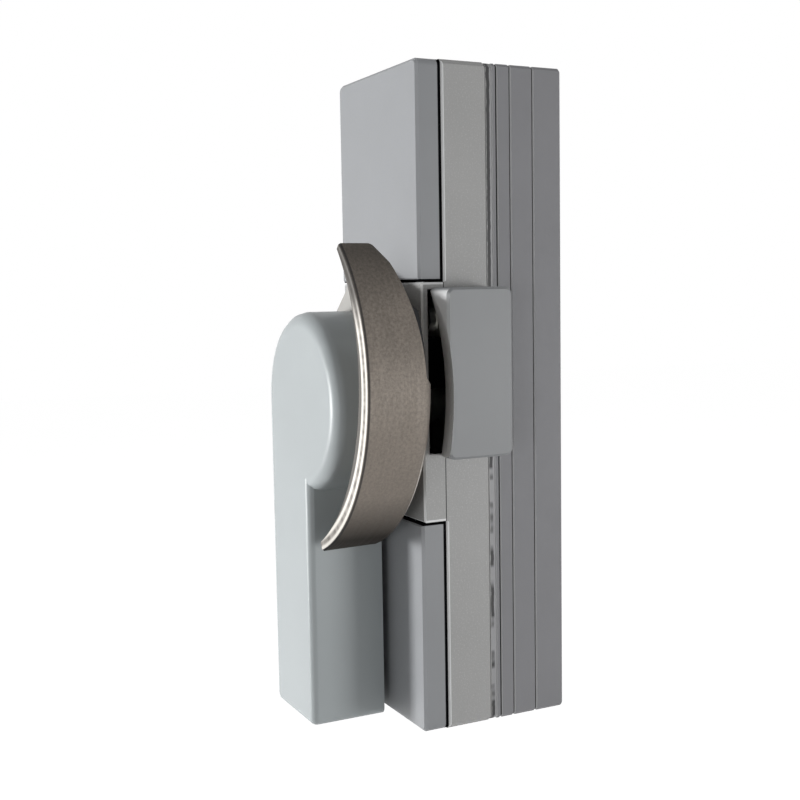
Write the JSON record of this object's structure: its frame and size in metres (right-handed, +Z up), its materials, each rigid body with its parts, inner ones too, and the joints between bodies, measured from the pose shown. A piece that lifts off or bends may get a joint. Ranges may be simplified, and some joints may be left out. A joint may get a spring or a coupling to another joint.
{
  "type": "crescent lock",
  "caption": "Crescent lock for a sliding window: turning handle with a curved steel hook on a capped base, side safety slide and packing plates behind.",
  "frame": {"origin": "where the spindle's axis meets the rear mounting face", "axes": "+X to the side with the lock slide, +Y back into the sash, +Z up along the body; the handle is on the -Y side"},
  "size_m": [0.0408, 0.0425, 0.1102],
  "materials": {
    "cast_base": "silver-grey, fine grain",
    "moulded_cap": "grey, satin",
    "packing_plate": "grey, matt",
    "painted_handle": "light bluish grey, smooth satin",
    "pressed_steel": "brushed, brownish grey",
    "moulded_slide": "grey, satin",
    "plated_steel": "zinc plated",
    "spring_steel": "plain, hardened",
    "bearing_plastic": "natural white"
  },
  "bodies": {
    "body": {"base": "cast_base", "back_plate": "plated_steel", "plate_screws": "plated_steel", "upper_cover": "moulded_cap", "lower_cover": "moulded_cap", "liner_1": "packing_plate", "liner_2": "packing_plate", "liner_3": "packing_plate", "liner_4": "packing_plate", "bush": "bearing_plastic", "wear_ring": "bearing_plastic", "detent_spring": "spring_steel"},
    "turning_group": {"handle": "painted_handle", "crescent": "pressed_steel", "spindle": "plated_steel", "cam_plate": "plated_steel", "stop_plate": "plated_steel", "centre_screw": "plated_steel"},
    "slide_group": {"lock_slide": "moulded_slide", "lock_bar": "plated_steel", "slide_screw": "plated_steel", "slide_spring": "spring_steel"}
  },
  "joints": [
    {"name": "handle_turn", "type": "hinge", "parent": "body", "child": "turning_group", "pos_m": [0, -0.03, 0], "axis": [0, 1, 0], "range_deg": [0, 180], "deforming": ["detent_spring"]},
    {"name": "slide_lock", "type": "slide", "parent": "body", "child": "slide_group", "axis": [0, 0, 1], "range_m": [-0.0101, 0]}
  ]
}
